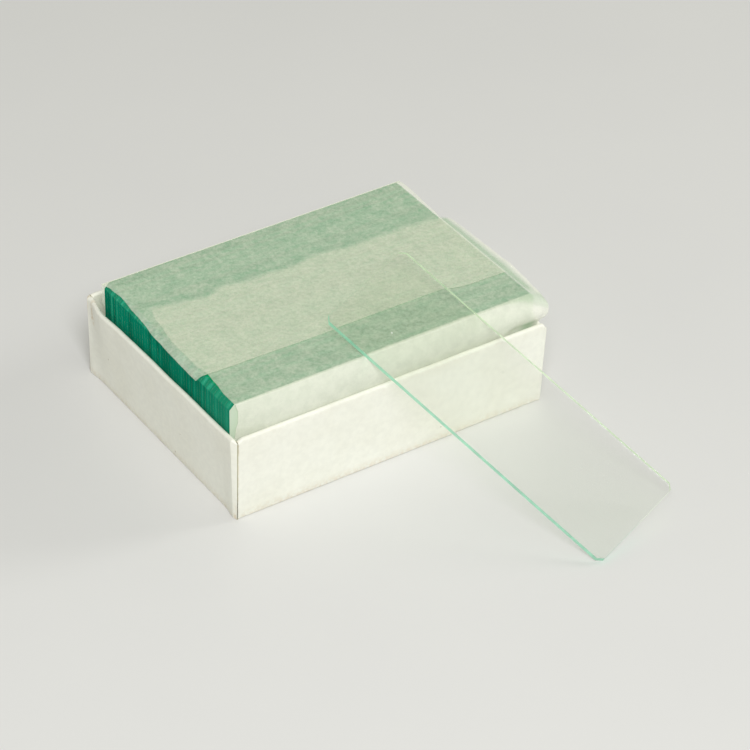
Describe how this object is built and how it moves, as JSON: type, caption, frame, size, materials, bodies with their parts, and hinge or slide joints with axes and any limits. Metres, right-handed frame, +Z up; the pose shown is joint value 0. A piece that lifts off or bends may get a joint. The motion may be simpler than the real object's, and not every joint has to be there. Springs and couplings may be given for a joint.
{
  "type": "opened box of microscope slides",
  "caption": "Shallow folded card tray holding a tissue-wrapped pack of plain glass microscope slides on edge, with a loose slide leaning on the front of the pack.",
  "frame": {"origin": "centre of the tray's underside, on the surface that the box stands on", "axes": "+X along the slides' length, +Y from the front wall to the back wall across the stack, +Z up"},
  "size_m": [0.08, 0.113, 0.0363],
  "materials": {
    "tray_card": "satin",
    "wrap_tissue": "matte",
    "slide_glass": "polished"
  },
  "bodies": {
    "tray": {"tray_floor": "tray_card", "tray_front_wall": "tray_card", "tray_back_wall": "tray_card", "tray_left_end_wall": "tray_card", "tray_right_end_wall": "tray_card", "tray_corner_tabs": "tray_card"},
    "bundle": {"wrap_base_panel": "wrap_tissue", "wrap_front_panel": "wrap_tissue", "wrap_back_panel": "wrap_tissue", "wrap_front_flap": "wrap_tissue", "slide_01": "slide_glass", "slide_02": "slide_glass", "slide_03": "slide_glass", "slide_04": "slide_glass", "slide_05": "slide_glass", "slide_06": "slide_glass", "slide_07": "slide_glass", "slide_08": "slide_glass", "slide_09": "slide_glass", "slide_10": "slide_glass", "slide_11": "slide_glass", "slide_12": "slide_glass", "slide_13": "slide_glass", "slide_14": "slide_glass", "slide_15": "slide_glass", "slide_16": "slide_glass", "slide_17": "slide_glass", "slide_18": "slide_glass", "slide_19": "slide_glass", "slide_20": "slide_glass", "slide_21": "slide_glass", "slide_22": "slide_glass", "slide_23": "slide_glass", "slide_24": "slide_glass", "slide_25": "slide_glass", "slide_26": "slide_glass", "slide_27": "slide_glass", "slide_28": "slide_glass", "slide_29": "slide_glass", "slide_30": "slide_glass", "slide_31": "slide_glass", "slide_32": "slide_glass", "slide_33": "slide_glass", "slide_34": "slide_glass", "slide_35": "slide_glass", "slide_36": "slide_glass", "slide_37": "slide_glass", "slide_38": "slide_glass", "slide_39": "slide_glass", "slide_40": "slide_glass", "slide_41": "slide_glass", "slide_42": "slide_glass", "slide_43": "slide_glass", "slide_44": "slide_glass", "slide_45": "slide_glass", "slide_46": "slide_glass", "slide_47": "slide_glass", "slide_48": "slide_glass"},
    "back_flap": {"wrap_back_flap": "wrap_tissue"},
    "loose_slide": {"leaning_slide": "slide_glass"}
  },
  "joints": [
    {"name": "bundle_lift", "type": "slide", "parent": "tray", "child": "bundle", "axis": [0, 0, 1], "range_m": [0, 0.03]},
    {"name": "back_flap_fold", "type": "hinge", "parent": "bundle", "child": "back_flap", "pos_m": [0, 0.02394, 0.02698], "axis": [-1, 0, 0], "range_deg": [0, 170], "deforming": ["wrap_back_flap"]},
    {"name": "loose_slide_lift", "type": "slide", "parent": "bundle", "child": "loose_slide", "axis": [0, 0, 1], "range_m": [0, 0.045]}
  ]
}
